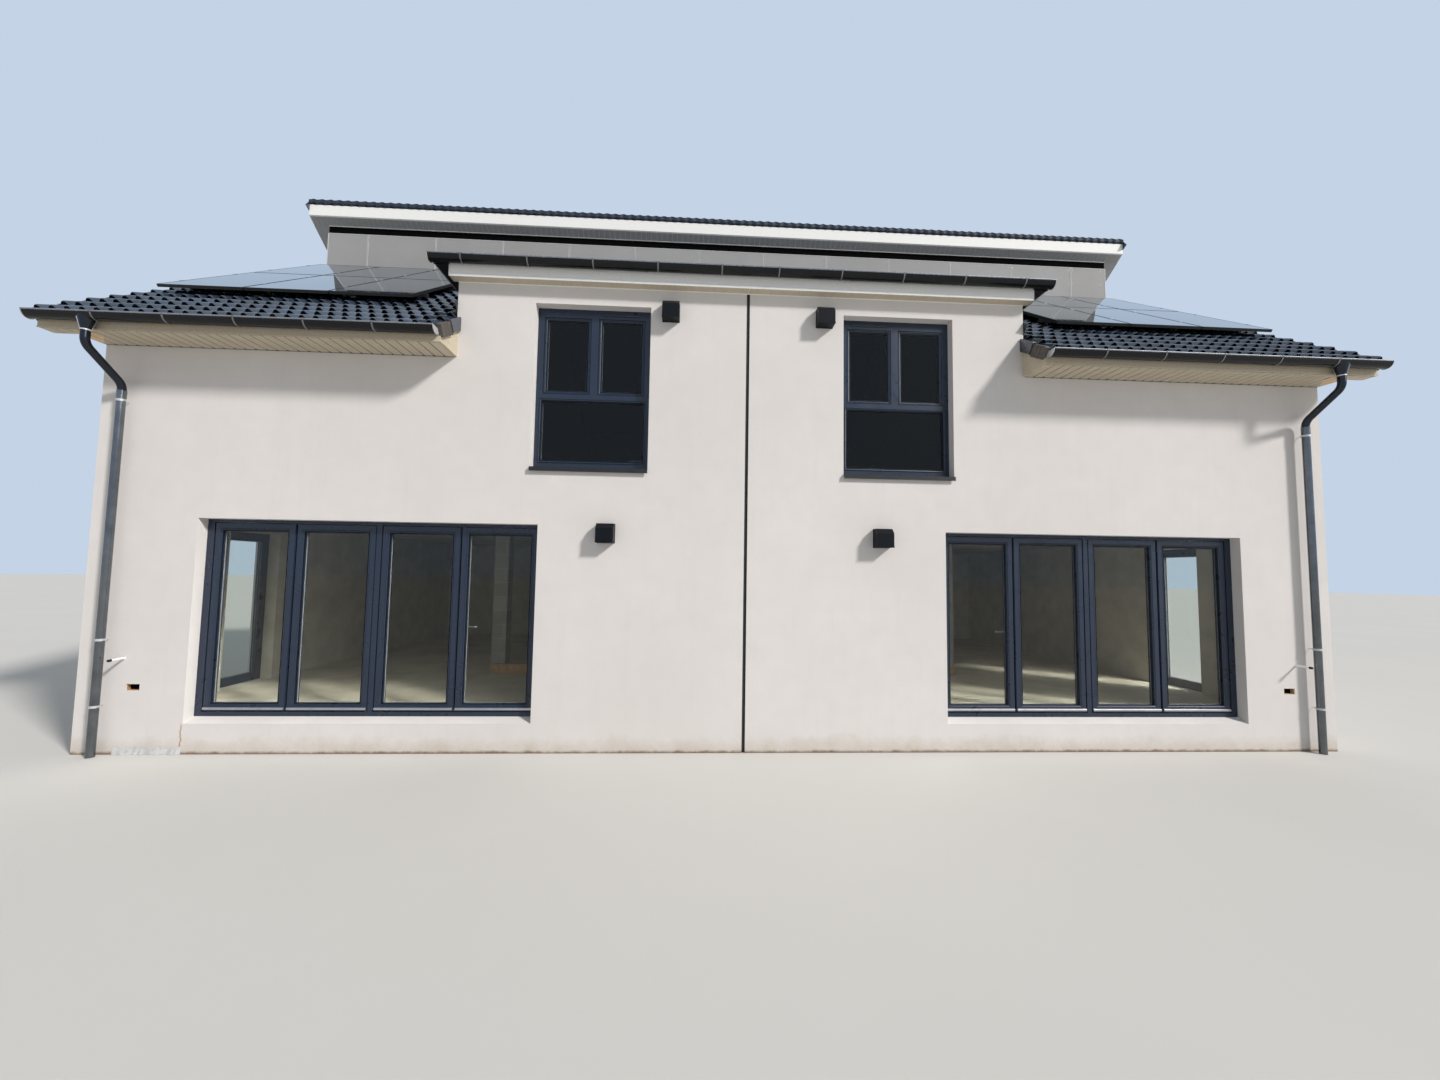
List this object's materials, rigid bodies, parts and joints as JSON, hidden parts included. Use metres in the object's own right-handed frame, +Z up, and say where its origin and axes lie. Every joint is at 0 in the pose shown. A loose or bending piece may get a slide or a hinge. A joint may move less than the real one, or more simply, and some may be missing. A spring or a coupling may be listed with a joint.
{
  "type": "semi-detached house pair",
  "caption": "Rendered two-storey house with a raised centre, dark tiled roofs at two heights, solar modules, and glazed garden doors that open.",
  "frame": {"origin": "middle of the building's footprint, at ground level", "axes": "+X along the facades, -Y towards the garden facade with the glazed doors, +Z up"},
  "size_m": [15.77, 9.7, 8.9368],
  "materials": {
    "render": "fine scraped render, off-white",
    "screed": "raw cement screed",
    "blockwork": "raw blockwork, unplastered",
    "joint_seal": "matt black",
    "cement_panel": "smooth grey fibre cement",
    "black_metal": "matt black sheet",
    "timber": "untreated timber",
    "roof_tile": "glossy anthracite tile",
    "pale_board": "pale painted boards",
    "white_board": "white coated board",
    "zinc": "weathered zinc",
    "solar_glass": "dark mirror-like glass",
    "aluminium": "mill finish",
    "dark_frame": "anthracite blue-grey foil",
    "glass": "clear double glazing",
    "dark_metal": "anthracite powder coat"
  },
  "bodies": {
    "house": {"ground_slabs": "screed", "upper_floors": "screed", "front_piers": "render", "door_thresholds": "render", "front_bands": "render", "rear_ground_walls": "render", "knee_walls": "render", "raised_walls": "render", "gable_ground_walls": "render", "gable_upper_walls": "render", "party_walls": "blockwork", "joint_strips": "joint_seal", "clerestory_wall": "blockwork", "clerestory_panels": "cement_panel", "vent_strip": "black_metal", "front_decks": "timber", "rear_deck": "timber", "raised_decks": "timber", "front_tiles": "roof_tile", "rear_tiles": "roof_tile", "raised_tiles": "roof_tile", "raised_cheeks": "black_metal", "low_eave_boards": "pale_board", "raised_eave_boards": "pale_board", "top_boards": "white_board", "gutters": "zinc", "downpipes": "zinc", "solar_modules": "solar_glass", "solar_rails": "aluminium", "window_frames": "dark_frame", "window_panes": "glass", "window_sills": "dark_metal", "wall_hoods": "dark_metal", "glazed_door_frames": "dark_frame", "entrance_doors": "dark_frame", "inner_piers": "blockwork"},
    "leaf_left_1": {"leaf_left_1": "dark_frame", "pane_left_1": "glass"},
    "leaf_left_2": {"leaf_left_2": "dark_frame", "pane_left_2": "glass"},
    "leaf_left_3": {"leaf_left_3": "dark_frame", "pane_left_3": "glass"},
    "leaf_left_4": {"leaf_left_4": "dark_frame", "pane_left_4": "glass"},
    "leaf_right_1": {"leaf_right_1": "dark_frame", "pane_right_1": "glass"},
    "leaf_right_2": {"leaf_right_2": "dark_frame", "pane_right_2": "glass"},
    "leaf_right_3": {"leaf_right_3": "dark_frame", "pane_right_3": "glass"},
    "leaf_right_4": {"leaf_right_4": "dark_frame", "pane_right_4": "glass"}
  },
  "joints": [
    {"name": "leaf_left_1_hinge", "type": "hinge", "parent": "house", "child": "leaf_left_1", "pos_m": [-6.337, -4.06, 0.455], "axis": [0, 0, 1], "range_deg": [0, 90]},
    {"name": "leaf_left_2_hinge", "type": "hinge", "parent": "house", "child": "leaf_left_2", "pos_m": [-4.468, -4.06, 0.455], "axis": [0, 0, -1], "range_deg": [0, 90]},
    {"name": "leaf_left_3_hinge", "type": "hinge", "parent": "house", "child": "leaf_left_3", "pos_m": [-4.402, -4.06, 0.455], "axis": [0, 0, 1], "range_deg": [0, 90]},
    {"name": "leaf_left_4_hinge", "type": "hinge", "parent": "house", "child": "leaf_left_4", "pos_m": [-2.533, -4.06, 0.455], "axis": [0, 0, -1], "range_deg": [0, 90]},
    {"name": "leaf_right_1_hinge", "type": "hinge", "parent": "house", "child": "leaf_right_1", "pos_m": [6.337, -4.06, 0.455], "axis": [0, 0, -1], "range_deg": [0, 90]},
    {"name": "leaf_right_2_hinge", "type": "hinge", "parent": "house", "child": "leaf_right_2", "pos_m": [4.468, -4.06, 0.455], "axis": [0, 0, 1], "range_deg": [0, 90]},
    {"name": "leaf_right_3_hinge", "type": "hinge", "parent": "house", "child": "leaf_right_3", "pos_m": [4.402, -4.06, 0.455], "axis": [0, 0, -1], "range_deg": [0, 90]},
    {"name": "leaf_right_4_hinge", "type": "hinge", "parent": "house", "child": "leaf_right_4", "pos_m": [2.533, -4.06, 0.455], "axis": [0, 0, 1], "range_deg": [0, 90]}
  ]
}
